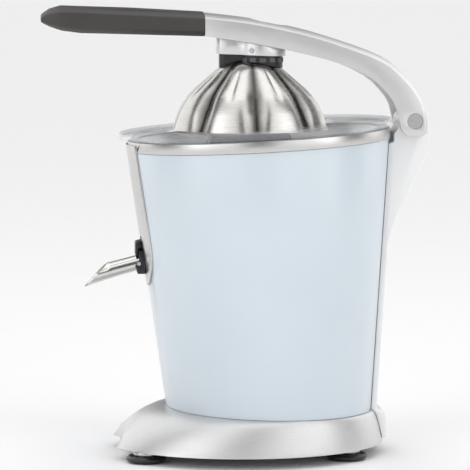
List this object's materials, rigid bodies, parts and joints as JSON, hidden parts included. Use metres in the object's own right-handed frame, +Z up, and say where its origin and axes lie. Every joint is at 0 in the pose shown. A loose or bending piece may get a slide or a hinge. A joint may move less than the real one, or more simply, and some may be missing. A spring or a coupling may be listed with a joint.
{
  "type": "citrus press juicer",
  "caption": "Lever-operated electric citrus press: leaning round body, strainer and geared reamer, fluted pressing dome on a long curved lever, tilting juice spout and footed base.",
  "frame": {"origin": "centre of the object's bounding box, at the height of the foot pads' undersides", "axes": "+Z up, -X to the front where the spout and the grip point, +X to the hinge at the rear, Y across with the plane of symmetry at Y = 0"},
  "size_m": [0.308, 0.22, 0.3575],
  "materials": {
    "brushed_steel": "brushed",
    "cast_aluminium": "satin cast",
    "spine_metal": "satin",
    "pale_blue_paint": "smooth satin",
    "grip_rubber": "soft matte",
    "black_plastic": "satin",
    "grey_plastic": "matte",
    "gear_plastic": "matte",
    "clear_plastic": "clear, glossy",
    "steel": "machined"
  },
  "bodies": {
    "base": {"base_skirt": "brushed_steel", "base_plate": "grey_plastic", "foot_pad_1": "black_plastic", "foot_pad_2": "black_plastic", "foot_pad_3": "black_plastic", "foot_pad_4": "black_plastic", "foot_stem_1": "steel", "foot_stem_2": "steel", "foot_stem_3": "steel", "foot_stem_4": "steel", "base_screw_1": "steel", "base_screw_2": "steel", "base_screw_3": "steel", "base_screw_4": "steel", "cord_gland": "black_plastic", "body_shell": "pale_blue_paint", "rear_spine": "spine_metal", "juice_collector": "brushed_steel", "strainer": "brushed_steel", "spout_holder": "black_plastic", "gearbox_base": "grey_plastic", "gearbox_cover": "grey_plastic", "shaft_bush": "steel", "idler_axle": "steel", "motor_can": "steel", "thrust_bracket": "steel", "start_switch": "black_plastic", "return_spring": "steel"},
    "lever": {"lever_arm": "cast_aluminium", "lever_badge": "steel", "lever_grip": "grip_rubber", "hinge_pin": "steel", "hinge_nut": "steel", "dome_bracket": "cast_aluminium", "tilt_pin": "steel"},
    "dome": {"dome_collar": "black_plastic", "press_dome": "brushed_steel", "dome_screw": "steel"},
    "spout": {"spout_tube": "brushed_steel", "spout_tab": "black_plastic", "spout_pin": "steel"},
    "cover": {"splash_cover": "clear_plastic"},
    "press": {"thrust_cup": "steel", "switch_button": "black_plastic"},
    "spindle": {"drive_shaft": "steel", "output_gear": "gear_plastic", "reamer": "grey_plastic"},
    "idler": {"idler_gear": "gear_plastic"},
    "motor": {"motor_rotor": "steel", "motor_pinion": "gear_plastic"}
  },
  "joints": [
    {"name": "lever_hinge", "type": "hinge", "parent": "base", "child": "lever", "pos_m": [0.1415, 0, 0.2657], "axis": [0, 1, 0], "range_deg": [0, 75]},
    {"name": "dome_tilt", "type": "hinge", "parent": "lever", "child": "dome", "pos_m": [0.012, 0, 0.3216], "axis": [0, 1, 0], "range_deg": [-2.5, 2.5]},
    {"name": "spout_tilt", "type": "hinge", "parent": "base", "child": "spout", "pos_m": [-0.0775, 0, 0.1527], "axis": [0, 1, 0], "range_deg": [0, 12]},
    {"name": "cover_lift", "type": "slide", "parent": "base", "child": "cover", "axis": [0, 0, 1], "range_m": [0, 0.004]},
    {"name": "spindle_press", "type": "slide", "parent": "base", "child": "press", "axis": [0, 0, -1], "range_m": [0, 0.0015], "stiffness_N_per_m": 4000, "springref_m": -0.003, "deforming": ["return_spring"]},
    {"name": "reamer_spin", "type": "hinge", "parent": "press", "child": "spindle", "pos_m": [0.012, 0, 0.096], "axis": [0, 0, 1], "continuous": true},
    {"name": "idler_spin", "type": "hinge", "parent": "base", "child": "idler", "pos_m": [0.042, 0, 0.111], "axis": [0, 0, 1], "continuous": true},
    {"name": "motor_spin", "type": "hinge", "parent": "base", "child": "motor", "pos_m": [0.067, 0, 0.111], "axis": [0, 0, 1], "continuous": true}
  ],
  "couplings": [
    {"joint": "idler_spin", "follows": "reamer_spin", "ratio": -3},
    {"joint": "motor_spin", "follows": "reamer_spin", "ratio": 12}
  ]
}
